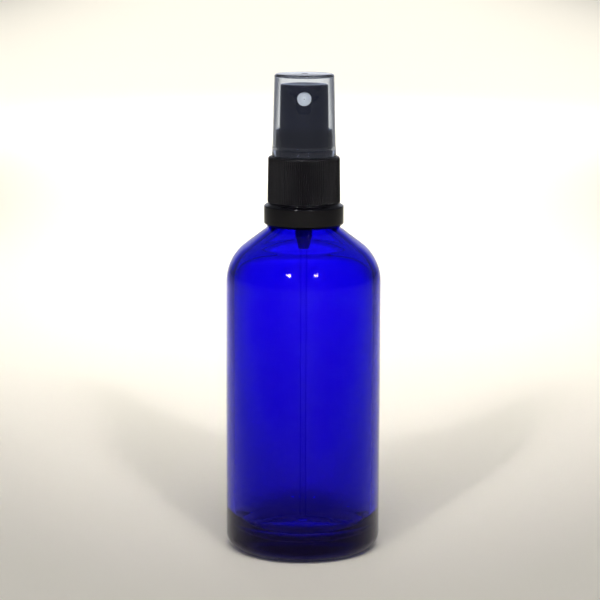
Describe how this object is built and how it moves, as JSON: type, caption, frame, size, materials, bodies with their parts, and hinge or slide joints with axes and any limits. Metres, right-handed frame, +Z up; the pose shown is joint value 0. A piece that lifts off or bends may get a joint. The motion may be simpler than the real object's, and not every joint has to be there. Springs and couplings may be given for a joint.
{
  "type": "fine mist pump spray bottle",
  "caption": "Round glass bottle with a sloped shoulder, a screw-on fine mist pump with ribbed closure, a tamper evident band and a clear slip-over cap.",
  "frame": {"origin": "centre of the standing ring under the glass base", "axes": "+Z up along the bottle's axis, -Y the way the nozzle sprays, +X to the right when the nozzle faces the viewer"},
  "size_m": [0.0447, 0.0446, 0.1383],
  "materials": {
    "cobalt_glass": "saturated cobalt blue container glass, smooth, with fine stippling under the base",
    "black_plastic": "black moulded polypropylene, soft sheen",
    "clear_plastic": "clear moulded styrene, polished",
    "white_plastic": "white acetal, smooth",
    "natural_plastic": "undyed translucent polypropylene and polyethylene",
    "spring_steel": "bright stainless steel",
    "gasket": "grey elastomer"
  },
  "bodies": {
    "glass": {"bottle": "cobalt_glass"},
    "band": {"tamper_band": "black_plastic"},
    "pump": {"pump_housing": "natural_plastic", "pump_turret": "natural_plastic", "neck_gasket": "gasket", "stem_gasket": "gasket", "dip_tube": "natural_plastic", "return_spring": "spring_steel"},
    "screw_closure": {"closure": "black_plastic"},
    "cap": {"overcap": "clear_plastic"},
    "plunger": {"stem": "natural_plastic", "valve_rod": "natural_plastic"},
    "head": {"actuator": "black_plastic", "nozzle_insert": "white_plastic"},
    "piston_ring": {"piston": "natural_plastic"},
    "ball": {"inlet_ball": "spring_steel"}
  },
  "joints": [
    {"name": "band_turn", "type": "hinge", "parent": "glass", "child": "band", "pos_m": [0, 0, 0.098], "axis": [0, 0, 1], "continuous": true},
    {"name": "pump_rise", "type": "slide", "parent": "glass", "child": "pump", "axis": [0, 0, 1], "range_m": [0, 0.0045]},
    {"name": "closure_turn", "type": "hinge", "parent": "pump", "child": "screw_closure", "pos_m": [0, 0, 0.108], "axis": [0, 0, 1], "range_deg": [0, 540]},
    {"name": "cap_lift", "type": "slide", "parent": "screw_closure", "child": "cap", "axis": [0, 0, 1], "range_m": [0, 0.03]},
    {"name": "head_press", "type": "slide", "parent": "pump", "child": "plunger", "axis": [0, 0, -1], "range_m": [0, 0.0042], "stiffness_N_per_m": 1700, "springref_m": -0.0045, "deforming": ["return_spring"]},
    {"name": "head_swivel", "type": "hinge", "parent": "plunger", "child": "head", "pos_m": [0, 0, 0.125], "axis": [0, 0, 1], "continuous": true},
    {"name": "piston_follow", "type": "slide", "parent": "pump", "child": "piston_ring", "axis": [0, 0, -1], "range_m": [0, 0.0036]},
    {"name": "ball_lift", "type": "slide", "parent": "pump", "child": "ball", "axis": [0, 0, 1], "range_m": [0, 0.0008]}
  ],
  "couplings": [
    {"joint": "pump_rise", "follows": "closure_turn", "m_per_rad": 0.00047746},
    {"joint": "piston_follow", "follows": "head_press", "ratio": 0.857}
  ]
}
